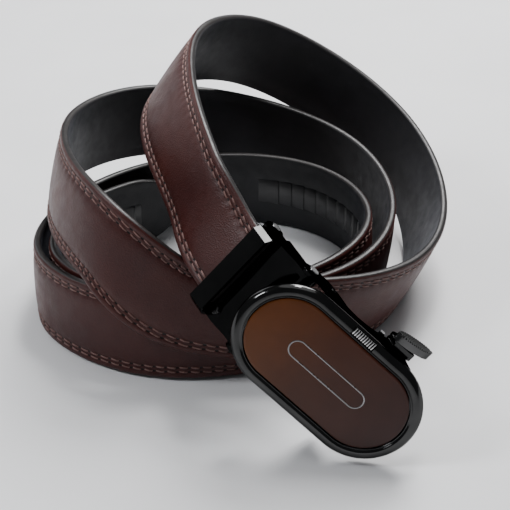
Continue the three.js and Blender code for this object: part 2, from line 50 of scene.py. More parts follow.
# ---------------------------------------------------------------- shared with the CAD part
STRAP_HALF = 17.5
STRAP_IN_CLAMP = 7.0
STRAP_SHIFT = 1.8
STRAP_END_SCALE = 0.9
STRAP_END_TAPER = 32.0
TIP_LENGTH = 22.0
TIP_HALF_WIDTH = 6.0
TRACK_HALF = 6.0
TRACK_FROM_TIP = 16.0
TRACK_PITCH = 6.35
TRACK_TEETH = 46
TRACK_LAND = 3.2                 # plain strip before the first tooth and after the last
TRACK_FLAT = -2.0                # height of the plain strip below the middle of the strap
TRACK_BACK = -1.6                # height of its back, which is sunk into the lining
TRACK_BEVEL = (0.35, 0.25)       # width and depth of the bevel along both sides
# Outline of a tooth: distance from its start and height.
TRACK_TOOTH = [
    (0.4, -1.9), (2.3, -2.05), (4.2, -2.22), (TRACK_PITCH - 0.35, -2.4), (TRACK_PITCH, -2.0),
]
FACE_STRAIGHT = 17.2
INLAY_RADIUS = 16.0
PILL_STRAIGHT = 13.3
PILL_RADIUS = 3.5
HINGE = (-26.5, 0.0, -12.2)
CLAMP_ANGLE = math.radians(37)
STRAP_START = (-23.0, STRAP_SHIFT, 8.4)      # in the clamp frame

BUCKLE_LONG = Vector((0.742, -0.266, -0.616))
BUCKLE_WIDE = Vector((0.66, 0.125, 0.741))
BUCKLE_CENTRE = Vector((24.6, -120.8, 33.0))

SPLINE_SLACK = 1.025             # length along the curve between stations, over the straight gap
FREE_OF_CLAMP = (2.0, 36.0)      # stretch where the strap turns from the clamp to its own lean

# x, y, z of the middle of the strap and its lean in degrees, from the clamp to the tip
STRAP_STATIONS = [
    (-24, -56.6, 74.3, 26), (-34.5, -12.5, 81.5, 37), (-30, 28, 81, 30), (-3.5, 61, 68.5, 16),
    (35, 61.5, 47.5, -3), (65, 34, 29, -16), (72, -9.5, 18, -24), (56, -51, 17.5, -18),
    (21, -76.5, 23.8, 2), (-6, -80.9, 27.6, 9), (-31, -80.9, 34.9, 13),
    (-55, -72.2, 52.9, 17), (-71, -48, 55.3, 17), (-78, 8, 49.4, 10),
    (-48.5, 49, 40, 3), (3, 54, 30.5, 0), (41.5, 31, 23, -6), (55, -15.5, 18, -6),
    (35, -57.5, 17.5, -1), (-6, -77.6, 17.8, 12), (-57.5, -74.2, 17.7, 6), (-86, -45, 17.6, 2),
    (-76, -6, 17.5, 1), (-44, 21.5, 17.5, 2), (-3, 28, 17.5, 1), (32, 13.5, 17.5, 0),
    (46.5, -19.5, 17.5, 0), (27.5, -54.5, 17.5, 0), (-9, -71, 17.5, 0), (-51.5, -70, 17.5, 0),
    (-79, -46, 17.5, 0), (-69.5, -9, 17.5, 2), (-36, 14, 17.7, 6),
]

# ---------------------------------------------------------------- looks
STITCH_PITCH = 4.4
STITCH_LENGTH = 3.15
STITCH_ROWS = (14.6, 12.8)       # distances of the rows from the middle line
STITCH_MARGIN = 14.0             # plain leather beyond the last stitch at the tip
STITCH_SLANT = 0.10              # sideways run of a stitch for each millimetre of its length
STITCH_JITTER = 0.05             # how far a stitch strays from its place
STITCH_SEED = 11
# Rings of a stitch: place (-1 and 1 are its ends), lift above the leather, share of the radius.
STITCH_SHAPE = [
    (-1.0, -0.26, 0.8), (-0.72, 0.10, 1.0), (0.0, 0.20, 1.05), (0.72, 0.10, 1.0), (1.0, -0.26, 0.8),
]
THREAD_RADIUS = 0.33
THREAD_SIDES = 6
THREAD_FLATNESS = 0.8            # height of the thread over its width
HOLE_SIZE = (0.62, 0.40)         # half length and half width of a needle hole
HOLE_SIDES = 8
HOLE_LIFT = 0.05                 # keeps the painted shade disc of a hole clear of the leather under it
STEPS_PER_STITCH = 5
PUCKER_DEPTH = 0.24
PUCKER_WIDTH = 0.45
# Shoulders beside the rows that are pulled down with them: place, width and depth.
PUCKER_SHOULDERS = [(11.7, 0.9, 0.20), (15.8, 0.6, 0.10)]
LEATHER_EDGE = 17.25
LEATHER_UNDERSIDE = 0.4

# Height of the leather above the middle of the strap, from the edge to the crown.
LEATHER_PROFILE = [
    (LEATHER_EDGE, 0.92), (16.95, 1.22), (16.4, 1.42), (15.6, 1.46), (15.05, 1.34), (14.6, 1.18),
    (14.15, 1.22), (13.7, 1.27), (13.25, 1.22), (12.8, 1.17), (12.35, 1.32), (11.7, 1.54),
    (10.7, 1.72), (9.0, 1.86), (6.0, 1.98), (3.0, 2.04), (0.0, 2.06),
]

LAYER_STEP = 2.5                 # step along the strap of the board and the lining
CORE_SECTION = [
    (16.4, -1.45), (17.1, -1.4), (17.4, -1.05), (17.53, -0.5), (17.55, 0.1),
    (17.48, 0.6), (17.25, 0.93), (16.8, 1.0),
]
LINING_SECTION = [
    (16.9, -1.2), (17.15, -1.42), (16.9, -1.68), (15.4, -1.78), (13.7, -1.62),
    (12.0, -1.8), (6.5, -1.86),
]
TIP_STEPS = 15                   # steps round the tip

FACE_SEGMENTS = 56               # steps round each end of the rim and the lacquered plate
BEZEL_OUTER = 20.8
BEZEL_PROFILE = [
    (16.3, -2.3), (BEZEL_OUTER, -2.3), (BEZEL_OUTER, -1.35), (20.62, -0.95), (20.25, -0.38),
    (19.85, 0.10), (19.5, 0.35), (19.05, 0.47), (18.4, 0.5), (17.7, 0.5), (17.3, 0.43),
    (17.08, 0.26), (16.98, 0.12), (16.84, 0.07), (16.66, 0.17), (16.48, 0.14), (16.36, 0.02),
    (16.3, -0.3),
]
RIB_SEAT = (-4.9, 5.1)           # stretch of the top side where the ribbed patch is let in
RIB_SEAT_INNER = 17.25
RIB_SEAT_FLOOR = -0.6
RIB_SEAT_WALL = 0.01             # run of the steep ends of the seat, to either side
RIB_COUNT = 10
RIB_PATCH = (-4.6, 4.8)
RIB_WIDTH = 0.44
RIB_BAR = ((17.55, -0.2), (20.2, 0.62))      # low and high corners across the rim
RIB_BAR_BEVEL = 0.07
RIB_PLATE = ((17.65, -0.3), (20.1, 0.12))
RIB_PLATE_BEVEL = 0.04

# Section of the pill-shaped line, measured from its outer radius, and of the edge of the
# lacquered plate, as insets at each height.
PILL_LINE = [(-0.45, -0.4), (0.0, -0.4), (0.0, 0.11), (-0.1, 0.16), (-0.35, 0.16), (-0.45, 0.11)]
PILL_SEGMENTS = 32
INLAY_EDGE = [(0.75, 0.0), (0.25, -0.02), (0.07, -0.1), (0.0, -0.3), (0.0, -1.5)]

# Finishing of the machined parts.
WELD_DISTANCE = 0.002
FLAT_ANGLE = math.radians(1.5)
BEVEL_ANGLE = math.radians(32)
CREASE_ANGLE = math.radians(48)
SMOOTH_ANGLE = math.radians(40)

# Middle band of a noise texture, where nearly all of its values lie.
NOISE_BAND = (0.3, 0.7)
METAL_WEAR = 0.04                # how much rougher the smears on the metal are

CAMERA_ELEVATION = math.radians(34.51)
CAMERA_DISTANCE = 560.0
CAMERA_LENS = 90.5
CAMERA_SENSOR = 36

# The studio, in metres and watts.
FLOOR_HALF = 3.0
FLOOR_DROP = 0.00015             # keeps the floor just under the strap
LIGHT_TARGET = Vector((0, 0, 0.04))
SOFTBOXES = [                    # name, place, side, power and colour
    ("softbox_back", (0.25, 0.55, 0.75), 0.45, 13.0, (1, 1, 1)),
    ("softbox_left", (-0.60, -0.11, 0.62), 0.20, 3.5, (0.95, 0.97, 1.0)),
    ("softbox_far_left", (-0.60, 0.62, 0.50), 0.45, 1.5, (0.97, 0.98, 1.0)),
    ("small_top_light", (0.13, 0.28, 0.92), 0.14, 3.5, (1, 1, 1)),
]
OVERHEAD_PLACE = Vector((0.10, 0.30, 1.0))
OVERHEAD_STRENGTH = 0.7
OVERHEAD_ANGLE = math.radians(50)
WORLD_COLOUR = (0.86, 0.88, 0.92, 1)
WORLD_STRENGTH = 0.15


# ---------------------------------------------------------------- local frames
def buckle_frame():
    """Frame of the buckle: X along the face away from the hinge, Z out of the face."""
    x = BUCKLE_LONG.normalized()
    z = x.cross(BUCKLE_WIDE).normalized()
    y = z.cross(x)
    turn = Matrix((x, y, z)).transposed().to_4x4()
    return Matrix.Translation(BUCKLE_CENTRE) @ turn


def clamp_frame(buckle):
    """Frame of the clamp: on the hinge axis, X from the strap towards the buckle."""
    return buckle @ Matrix.Translation(HINGE) @ Matrix.Rotation(-CLAMP_ANGLE, 4, "Y")


def origin_shift(buckle):
    """How far the CAD part was moved to stand on the origin, read off the hinge pin."""
    low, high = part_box("hinge_pin")
    return (low + high) / 2 / MM - buckle @ Vector(HINGE)


UNSHIFTED = buckle_frame()
SHIFT = origin_shift(UNSHIFTED)
BUCKLE = Matrix.Translation(SHIFT) @ UNSHIFTED
CLAMP = clamp_frame(BUCKLE)


# ---------------------------------------------------------------- strap path
def cubic_spline(t, value, start_slope):
    """Cubic spline through rows of value, with a given start slope and a free end."""
    n = len(t)
    h = np.diff(t)
    step = np.diff(value, axis=0) / h[:, None]
    diagonal = [2 * h[0]]
    right = [6 * (step[0] - start_slope)]
    for i in range(1, n - 1):
        factor = h[i - 1] / diagonal[i - 1]
        diagonal.append(2 * (h[i - 1] + h[i]) - factor * h[i - 1])
        right.append(6 * (step[i] - step[i - 1]) - factor * right[i - 1])
    bend = np.zeros_like(value)
    for i in range(n - 2, -1, -1):
        bend[i] = (right[i] - h[i] * bend[i + 1]) / diagonal[i]

    def evaluate(at):
        i = np.clip(np.searchsorted(t, at, side="left") - 1, 0, n - 2)
        a = ((t[i + 1] - at) / h[i])[:, None]
        b = 1 - a
        curve = ((a**3 - a) * bend[i] + (b**3 - b) * bend[i + 1]) * h[i][:, None] ** 2 / 6
        return a * value[i] + b * value[i + 1] + curve

    return evaluate


def unit(rows):
    return rows / np.linalg.norm(rows, axis=1, keepdims=True)


def smoothstep(x, low, high):
    x = np.clip((x - low) / (high - low), 0, 1)
    return x * x * (3 - 2 * x)


class StrapPath:
    """The middle line of the strap with its across and outward directions."""

    def __init__(self):
        table = np.array(STRAP_STATIONS, float)
        turn = CLAMP.to_3x3()
        self.start = np.array(CLAMP @ Vector(STRAP_START))
        self.out = np.array(turn @ Vector((-1, 0, 0)))
        self.wide = np.array(turn @ Vector((0, 1, 0)))
        points = np.vstack([self.start, table[:, :3] + np.array(SHIFT)])
        lean = np.concatenate([[table[0, 3]], table[:, 3]])
        gaps = np.linalg.norm(np.diff(points, axis=0), axis=1) * SPLINE_SLACK
        t = np.concatenate([[0], np.cumsum(gaps)])
        self.end = t[-1]
        self.curve = cubic_spline(t, points, self.out)
        self.lean = cubic_spline(t, lean[:, None], np.zeros(1))

    def position(self, s):
        inside = self.start + s[:, None] * self.out
        return np.where(s[:, None] < 0, inside, self.curve(s))

    def frames(self, s):
        """Points, across vectors and outward vectors at the lengths s."""
        reach = 0.5
        ahead = unit(self.position(s + reach) - self.position(s - reach))
        along = np.where(s[:, None] <= 0, self.out, ahead)
        upright = unit(np.array([0, 0, 1]) - along * along[:, 2:])
        angle = np.radians(self.lean(np.maximum(s, 0)))
        leaning = upright * np.cos(angle) + np.cross(along, upright) * np.sin(angle)
        free = smoothstep(s, *FREE_OF_CLAMP)[:, None]
        across = self.wide * (1 - free) + leaning * free
        across = unit(across - along * np.sum(across * along, axis=1, keepdims=True))
        return self.position(s), across, np.cross(across, along)


PATH = StrapPath()


def width_scale(s):
    """Share of the full width: trimmed for the clamp, narrowed to a rounded tip."""
    trimmed = STRAP_END_SCALE + (1 - STRAP_END_SCALE) * smoothstep(s, 0, STRAP_END_TAPER)
    left = np.clip((PATH.end - s) / TIP_LENGTH, 0, 1)
    rounded = np.sqrt(1 - (1 - left) ** 2)
    tip = (TIP_HALF_WIDTH + (STRAP_HALF - TIP_HALF_WIDTH) * rounded) / STRAP_HALF
    return np.where(left < 1, tip, trimmed)


def strap_points(s, across, outward):
    """Space points for rows of (across, outward) offsets at each length s."""
    point, a_dir, o_dir = PATH.frames(s)
    return point[:, None] + across[..., None] * a_dir[:, None] + outward[..., None] * o_dir[:, None]


def even_steps(start, end, step):
    return np.linspace(start, end, int(math.ceil((end - start) / step)) + 1)


def strap_steps(step):
    """Even steps along the strap, closer together round the tip."""
    body = even_steps(-STRAP_IN_CLAMP, PATH.end - TIP_LENGTH, step)
    turn = np.linspace(0, math.pi / 2, TIP_STEPS + 1)[1:]
    tip = PATH.end - TIP_LENGTH * (1 - np.sin(turn))
    return np.concatenate([body, tip])


# ---------------------------------------------------------------- mesh helpers
def add_object(name, data):
    """New object in the scene for a mesh, lamp or camera."""
    item = bpy.data.objects.new(name, data)
    bpy.context.scene.collection.objects.link(item)
    return item


def new_piece(name, vertices, faces, material, body):
    """Mesh piece from points in millimetres, riding on a body."""
    mesh = bpy.data.meshes.new(name)
    mesh.from_pydata([tuple(v) for v in np.asarray(vertices) * MM], [], faces)
    mesh.validate()
    bm = bmesh.new()
    bm.from_mesh(mesh)
    shade_smooth(bm, SMOOTH_ANGLE)
    bm.to_mesh(mesh)
    bm.free()
    mesh.materials.append(material)
    piece = add_object(name, mesh)
    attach(piece, body)
    return piece


def shade_smooth(bm, crease):
    """Outward normals, and smooth shading except across edges sharper than the crease angle."""
    bmesh.ops.recalc_face_normals(bm, faces=bm.faces)
    for face in bm.faces:
        face.smooth = True
    for edge in bm.edges:
        edge.smooth = edge.calc_face_angle(0) < crease


def band_faces(first, second, columns):
    """Quads between two closed rows of points that start at the indices first and second."""
    faces = []
    for j in range(columns):
        k = (j + 1) % columns
        faces.append((first + j, second + j, second + k, first + k))
    return faces


def grid_faces(rows, columns):
    """Quads between rows of a closed section, with both ends capped."""
    faces = []
    for i in range(rows - 1):
        faces += band_faces(i * columns, (i + 1) * columns, columns)
    faces.append(tuple(range(columns)))
    faces.append(tuple(reversed(range((rows - 1) * columns, rows * columns))))
    return faces


def sweep_strap(name, s, across, outward, material):
    """Closed strap layer from (across, outward) section rows at each length."""
    points = strap_points(s, across, outward)
    rows, columns = across.shape
    return new_piece(name, points.reshape(-1, 3), grid_faces(rows, columns), material,
                     "strap")


def on_face(points):
    """Points of the buckle frame in the frame of the whole belt."""
    return [BUCKLE @ Vector(p) for p in points]


def circle_steps(sides):
    """Angles of the corners of a round section."""
    return np.linspace(0, 2 * math.pi, sides + 1)[:-1]


# ---------------------------------------------------------------- material helpers
class Look:
    """A Principled material with short calls for procedural detail in object space."""

    def __init__(self, name, colour, roughness, metallic=0.0):
        self.material = bpy.data.materials.new(name)
        self.material.use_nodes = True
        self.tree = self.material.node_tree
        self.shader = self.tree.nodes["Principled BSDF"]
        self.coords = self.tree.nodes.new("ShaderNodeTexCoord").outputs["Object"]
        self.set("Base Color", (*colour, 1))
        self.set("Roughness", roughness)
        self.set("Metallic", metallic)

    def set(self, socket, value):
        self.shader.inputs[socket].default_value = value

    def link(self, source, socket):
        self.tree.links.new(source, self.shader.inputs[socket])

    def stretched(self, scale, turn):
        """Object coordinates turned and stretched, for streaks along one direction."""
        node = self.tree.nodes.new("ShaderNodeMapping")
        node.inputs["Scale"].default_value = scale
        node.inputs["Rotation"].default_value = turn
        self.tree.links.new(self.coords, node.inputs["Vector"])
        return node.outputs["Vector"]

    def noise(self, size, detail, coords=None):
        """Noise whose patches are about size millimetres across."""
        node = self.tree.nodes.new("ShaderNodeTexNoise")
        node.inputs["Scale"].default_value = 1 / MM / size
        node.inputs["Detail"].default_value = detail
        self.tree.links.new(coords or self.coords, node.inputs["Vector"])
        return node.outputs["Fac"]

    def cells(self, size):
        """Distance to the middle of random cells about size millimetres across."""
        node = self.tree.nodes.new("ShaderNodeTexVoronoi")
        node.inputs["Scale"].default_value = 1 / MM / size
        self.tree.links.new(self.coords, node.inputs["Vector"])
        return node.outputs["Distance"]

    def ramp(self, source, stops):
        """Colour ramp through (position, colour) stops."""
        node = self.tree.nodes.new("ShaderNodeValToRGB")
        elements = node.color_ramp.elements
        while len(elements) < len(stops):
            elements.new(0.5)
        for element, (position, colour) in zip(elements, stops):
            element.position = position
            element.color = (*colour, 1)
        self.tree.links.new(source, node.inputs["Fac"])
        return node.outputs["Color"]

    def multiply(self, colour, tint, amount):
        """Colour multiplied by a tint, by an amount from 0 to 1."""
        mix = self.tree.nodes.new("ShaderNodeMix")
        mix.data_type = "RGBA"
        mix.blend_type = "MULTIPLY"
        mix.inputs["Factor"].default_value = amount
        first, second = [socket for socket in mix.inputs if socket.type == "RGBA"]
        self.tree.links.new(colour, first)
        self.tree.links.new(tint, second)
        return next(socket for socket in mix.outputs if socket.type == "RGBA")

    def spread(self, source, low, high):
        """Spreads the middle band of a noise over a range of values."""
        node = self.tree.nodes.new("ShaderNodeMapRange")
        node.inputs["From Min"].default_value, node.inputs["From Max"].default_value = NOISE_BAND
        node.inputs["To Min"].default_value = low
        node.inputs["To Max"].default_value = high
        self.tree.links.new(source, node.inputs["Value"])
        return node.outputs["Result"]

    def bump(self, height, strength, depth, below=None):
        """Bump from a height, depth millimetres deep, on top of another bump."""
        node = self.tree.nodes.new("ShaderNodeBump")
        node.inputs["Strength"].default_value = strength
        node.inputs["Distance"].default_value = depth * MM
        self.tree.links.new(height, node.inputs["Height"])
        if below is not None:
            self.tree.links.new(below, node.inputs["Normal"])
        self.link(node.outputs["Normal"], "Normal")
        return node.outputs["Normal"]

    def along(self, direction, start, end):
        """0 to 1 from start to end (points in millimetres) along a direction."""
        node = self.tree.nodes.new("ShaderNodeVectorMath")
        node.operation = "DOT_PRODUCT"
        node.inputs[1].default_value = direction
        self.tree.links.new(self.coords, node.inputs[0])
        scale = self.tree.nodes.new("ShaderNodeMapRange")
        scale.inputs["From Min"].default_value = start.dot(direction) * MM
        scale.inputs["From Max"].default_value = end.dot(direction) * MM
        self.tree.links.new(node.outputs["Value"], scale.inputs["Value"])
        return scale.outputs["Result"]


# ---------------------------------------------------------------- materials
def leather_look():
    """Smooth burgundy-brown calf with a fine grain, soft creases and a waxed sheen."""
    look = Look("belt_leather", (0.043, 0.0102, 0.0088), 0.46)
    tone = look.ramp(look.noise(22, 5), [
        (0.30, (0.0400, 0.0084, 0.0074)), (0.52, (0.0500, 0.0106, 0.0086)),
        (0.72, (0.0620, 0.0138, 0.0104)),
    ])
    speckle = look.ramp(look.noise(0.7, 3), [(0.3, (0.72, 0.7, 0.7)), (0.7, (1.1, 1.1, 1.1))])
    look.link(look.multiply(tone, speckle, 0.8), "Base Color")
    look.link(look.spread(look.noise(5, 4), 0.40, 0.54), "Roughness")
    look.set("Specular IOR Level", 0.28)
    look.set("Coat Weight", 0.04)
    look.set("Coat Roughness", 0.3)
    creases = look.bump(look.noise(1.6, 5), 0.4, 0.10)
    grain = look.bump(look.cells(0.55), 0.9, 0.10, creases)
    look.bump(look.noise(0.2, 2), 0.35, 0.02, grain)
    return look.material


def painted_hole_shade_look():
    """Painted shade: a near-black disc that stands for the shade inside a needle hole."""
    return Look("painted_hole_shade", (0.004, 0.002, 0.002), 0.9).material


def edge_look():
    """Dark edge paint, a little glossy, slightly uneven."""
    look = Look("belt_edge_paint", (0.014, 0.012, 0.012), 0.36)
    tone = look.ramp(look.noise(9, 3), [
        (0.35, (0.010, 0.0085, 0.0085)), (0.7, (0.021, 0.018, 0.018)),
    ])
    look.link(tone, "Base Color")
    look.link(look.spread(look.noise(3, 3), 0.32, 0.46), "Roughness")
    look.set("Specular IOR Level", 0.35)
    look.bump(look.noise(1.2, 3), 0.3, 0.06)
    return look.material


def lining_look():
    """Black lining leather with a faint cool sheen."""
    look = Look("belt_lining", (0.006, 0.006, 0.007), 0.5)
    tone = look.ramp(look.noise(12, 3), [
        (0.3, (0.0045, 0.0045, 0.0055)), (0.7, (0.0090, 0.0090, 0.0110)),
    ])
    look.link(tone, "Base Color")
    look.link(look.spread(look.noise(4, 3), 0.44, 0.58), "Roughness")
    look.set("Specular IOR Level", 0.3)
    look.set("Sheen Weight", 0.04)
    look.set("Sheen Tint", (0.75, 0.8, 1.0, 1))
    grain = look.bump(look.cells(0.7), 0.4, 0.05)
    look.bump(look.noise(0.3, 3), 0.3, 0.03, grain)
    return look.material


def thread_look():
    """Pinkish-brown waxed thread."""
    look = Look("belt_thread", (0.16, 0.078, 0.066), 0.6)
    tone = look.ramp(look.noise(1.5, 3), [
        (0.3, (0.11, 0.050, 0.042)), (0.7, (0.21, 0.105, 0.088)),
    ])
    look.link(tone, "Base Color")
    look.set("Sheen Weight", 0.1)
    look.bump(look.noise(0.22, 2), 0.6, 0.05)
    return look.material


def track_look():
    """Black moulded nylon of the ratchet strip."""
    look = Look("ratchet_nylon", (0.012, 0.012, 0.013), 0.38)
    look.link(look.spread(look.noise(3, 3), 0.3, 0.46), "Roughness")
    look.bump(look.noise(0.5, 3), 0.25, 0.03)
    return look.material


def gunmetal_look(name, tint=0.045, roughness=0.08, edge=0.55):
    """Plated metal with faint smears and hairline scratches.  The tint is its brightness
    face on, and edge its brightness at a grazing angle."""
    look = Look(name, (tint, tint, tint), roughness, metallic=1.0)
    dark, light = tint * 0.85, tint * 1.15
    tone = look.ramp(look.noise(9, 4), [(0.3, (dark, dark, dark)), (0.7, (light, light, light))])
    look.link(tone, "Base Color")
    look.set("Specular Tint", (edge, edge, edge, 1))
    look.link(look.spread(look.noise(4, 4), roughness, roughness + METAL_WEAR), "Roughness")
    hairlines = look.noise(0.5, 2, look.stretched((0.06, 1, 1), (0.3, 0.7, 0.4)))
    look.bump(hairlines, 0.03, 0.01)
    return look.material


def inlay_look():
    """Brown lacquer with a painted reflection, lighter and warmer towards the hinge end and darker
    towards the far end, and soft clouds under a clear coat.
    """
    look = Look("brown_lacquer", (0.1, 0.035, 0.015), 0.16)
    end = BUCKLE @ Vector((FACE_STRAIGHT + INLAY_RADIUS, 0, 0))
    start = BUCKLE @ Vector((-FACE_STRAIGHT - INLAY_RADIUS, 0, 0))
    direction = (end - start).normalized()
    # Painted reflection: a gradient along the buckle, light orange-brown at the hinge end to dark
    # brown at the far end.
    base = look.ramp(look.along(direction, start, end), [
        (0.0, (0.135, 0.040, 0.008)), (0.45, (0.070, 0.020, 0.009)), (1.0, (0.036, 0.010, 0.008)),
    ])
    clouds = look.ramp(look.noise(14, 4), [(0.3, (0.62, 0.6, 0.58)), (0.7, (1.0, 1.0, 1.0))])
    look.link(look.multiply(base, clouds, 0.6), "Base Color")
    look.link(look.spread(look.noise(6, 4), 0.12, 0.2), "Roughness")
    look.set("Specular IOR Level", 0.18)
    look.set("Coat Weight", 0.12)
    look.set("Coat Roughness", 0.06)
    return look.material


def outline_look():
    """Satin silver-grey hairline."""
    look = Look("outline_silver", (0.30, 0.29, 0.29), 0.34, metallic=1.0)
    look.link(look.spread(look.noise(2, 3), 0.24, 0.36), "Roughness")
    return look.material


def plastic_look(name, colour, roughness):
    """Plain moulded or foam filler piece with a fine surface."""
    look = Look(name, colour, roughness)
    look.link(look.spread(look.noise(2, 3), roughness - 0.06, roughness + 0.08), "Roughness")
    look.bump(look.noise(0.4, 3), 0.3, 0.04)
    return look.material


# ---------------------------------------------------------------- strap
def crown_height(a):
    """Height of the leather at a distance a from the middle line, before it is stitched."""
    distance, height = np.array(LEATHER_PROFILE[::-1]).T
    return np.interp(np.abs(a), distance, height)


def hump(a, place, width):
    """Smooth hump of height 1 across the strap."""
    return np.exp(-(((a - place) / width) ** 2))


def leather_height(a, s):
    """Height of the leather at length s, pulled down at every needle hole."""
    a = np.abs(a)
    top = crown_height(a)
    pull = 0.5 + 0.5 * np.cos(2 * math.pi * s / STITCH_PITCH)
    for row in STITCH_ROWS:
        top = top - PUCKER_DEPTH * pull * hump(a, row, PUCKER_WIDTH)
    shoulders = sum(depth * hump(a, place, width) for place, width, depth in PUCKER_SHOULDERS)
    return top - pull * shoulders


def layer_section(s, half):
    """Rows of a mirrored section, scaled to the width of the strap at each length."""
    outline = np.array(half + [(-a, o) for a, o in reversed(half)])
    across = outline[:, 0][None, :] * width_scale(s)[:, None]
    outward = np.repeat(outline[:, 1][None, :], len(s), axis=0)
    return across, outward


def make_leather(material):
    """Crowned outer leather, puckered along the stitch rows."""
    s = strap_steps(STITCH_PITCH / STEPS_PER_STITCH)
    half = np.array([a for a, _ in LEATHER_PROFILE])
    underside = [-LEATHER_EDGE, LEATHER_EDGE]
    nominal = np.concatenate([half, -half[-2::-1], underside])
    across = nominal[None, :] * width_scale(s)[:, None]
    outward = leather_height(nominal[None, :], s[:, None])
    outward[:, -len(underside):] = LEATHER_UNDERSIDE
    piece = sweep_strap("strap_leather", s, across, outward, material)
    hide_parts("strap_outer_leather")


def make_core(material):
    """Board between the leathers; its painted edge shows as a rounded band."""
    s = strap_steps(LAYER_STEP)
    across, outward = layer_section(s, CORE_SECTION)
    piece = sweep_strap("strap_painted_core", s, across, outward, material)
    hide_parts("strap_core")


def make_lining(material):
    """Black lining, pressed down slightly along both stitch rows."""
    s = strap_steps(LAYER_STEP)
    across, outward = layer_section(s, LINING_SECTION)
    piece = sweep_strap("strap_black_lining", s, across, outward, material)
    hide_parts("strap_lining")


def make_track(material):
    """Ratchet strip: a row of saw teeth on the lining near the tip."""
    end = PATH.end - TRACK_FROM_TIP
    first = end - TRACK_TEETH * TRACK_PITCH - TRACK_LAND
    knots = [(first - TRACK_LAND, TRACK_FLAT), (first, TRACK_FLAT)]
    for i in range(TRACK_TEETH):
        tooth = first + i * TRACK_PITCH
        knots += [(tooth + along, height) for along, height in TRACK_TOOTH]
    knots.append((end, TRACK_FLAT))
    s, crest = np.array(knots).T
    bevel_width, bevel_depth = TRACK_BEVEL
    half = [TRACK_HALF, TRACK_HALF, TRACK_HALF - bevel_width]
    nominal = np.array(half + [-a for a in reversed(half)])
    across = np.repeat(nominal[None, :], len(s), axis=0)
    side = crest + bevel_depth
    back = np.full_like(crest, TRACK_BACK)
    outward = np.stack([back, side, crest, crest, side, back], axis=1)
    piece = sweep_strap("ratchet_strip", s, across, outward, material)
    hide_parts("ratchet_track")


def stitch_count():
    return int((PATH.end - STITCH_MARGIN) / STITCH_PITCH)


def make_stitches(material):
    """Two rows of thread near each edge, each stitch dipping into its holes."""
    rng = np.random.default_rng(STITCH_SEED)
    count = stitch_count()
    rings = len(STITCH_SHAPE)
    middle = (np.arange(count) + 0.5) * STITCH_PITCH
    place, lift, thickness = np.array(STITCH_SHAPE).T
    part = place * STITCH_LENGTH / 2
    turn = circle_steps(THREAD_SIDES)
    vertices, faces = [], []
    for side in (1, -1):
        for row in STITCH_ROWS:
            along_shift = rng.normal(0, STITCH_JITTER, (count, 1))
            side_shift = rng.normal(0, STITCH_JITTER, count)
            s = (middle[:, None] + part[None, :] + along_shift).ravel()
            slant = np.tile(part * STITCH_SLANT, count) + np.repeat(side_shift, rings)
            a = side * row * width_scale(s) + slant
            o = crown_height(row) + np.tile(lift, count)
            radius = np.tile(thickness * THREAD_RADIUS, count)
            ring_a = a[:, None] + radius[:, None] * np.cos(turn)
            ring_o = o[:, None] + radius[:, None] * np.sin(turn) * THREAD_FLATNESS
            first = sum(len(block) for block in vertices)
            vertices.append(strap_points(s, ring_a, ring_o).reshape(-1, 3))
            for stitch in range(count):
                base = first + stitch * rings * THREAD_SIDES
                for face in grid_faces(rings, THREAD_SIDES):
                    faces.append(tuple(base + v for v in face))
    new_piece("strap_stitching", np.vstack(vertices), faces, material, "strap")


def make_painted_needle_hole_shade(material):
    """Painted shade of the needle holes: near-black discs between the stitches of every row."""
    half_length, half_width = HOLE_SIZE
    centres = np.arange(1, stitch_count()) * STITCH_PITCH
    turn = circle_steps(HOLE_SIDES)
    around = np.concatenate([[0], half_length * np.cos(turn)])
    sideways = np.concatenate([[0], half_width * np.sin(turn)])
    vertices, faces = [], []
    for side in (1, -1):
        for row in STITCH_ROWS:
            s = (centres[:, None] + around[None, :]).ravel()
            a = row + np.tile(sideways, len(centres))
            top = leather_height(a, s) + HOLE_LIFT
            first = sum(len(block) for block in vertices)
            points = strap_points(s, (side * a * width_scale(s))[:, None], top[:, None])
            vertices.append(points[:, 0])
            for hole in range(len(centres)):
                middle = first + hole * (HOLE_SIDES + 1)
                for v in range(HOLE_SIDES):
                    faces.append((middle, middle + 1 + v, middle + 1 + (v + 1) % HOLE_SIDES))
    new_piece("painted_needle_hole_shade", np.vstack(vertices), faces, material, "strap")


# ---------------------------------------------------------------- buckle face
def ring_on_face(name, section_at, stations, material):
    """Closed ring round the face.  section_at(x, sin) lists its section as (radius, height),
    for the outer end x of a station and the sine of its direction."""
    sections = [section_at(cx + BEZEL_OUTER * cos, sin) for cx, cos, sin in stations]
    points = []
    for (cx, cos, sin), section in zip(stations, sections):
        points += [(cx + r * cos, r * sin, z) for r, z in section]
    rows, columns = len(stations), len(sections[0])
    faces = []
    for i in range(rows):
        faces += band_faces(i * columns, (i + 1) % rows * columns, columns)
    return new_piece(name, on_face(points), faces, material, "buckle")


def stadium_stations(straight, segments, breaks=()):
    """Centre, cosine and sine round a stadium, with extra stations along its top side."""
    stations = []
    for side in (1, -1):
        for i in range(segments + 1):
            angle = math.pi * (i / segments - side / 2)
            stations.append((side * straight, math.cos(angle), math.sin(angle)))
        if side == 1:
            stations += [(x, 0.0, 1.0) for x in breaks]
    return stations


def make_bezel(material):
    """Rounded rim of the face with a seat for the ribbed patch."""
    low, high = RIB_SEAT

    def section_at(x, sin):
        on_top_side = sin > 0.999
        if not on_top_side or not low < x < high:
            return BEZEL_PROFILE
        return [(r, min(z, RIB_SEAT_FLOOR) if r > RIB_SEAT_INNER else z) for r, z in BEZEL_PROFILE]

    wall = RIB_SEAT_WALL
    breaks = [high + wall, high - wall, 0.0, low + wall, low - wall]
    stations = stadium_stations(FACE_STRAIGHT, FACE_SEGMENTS, breaks)
    piece = ring_on_face("bezel_rim", section_at, stations, material)
    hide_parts("bezel_ring")


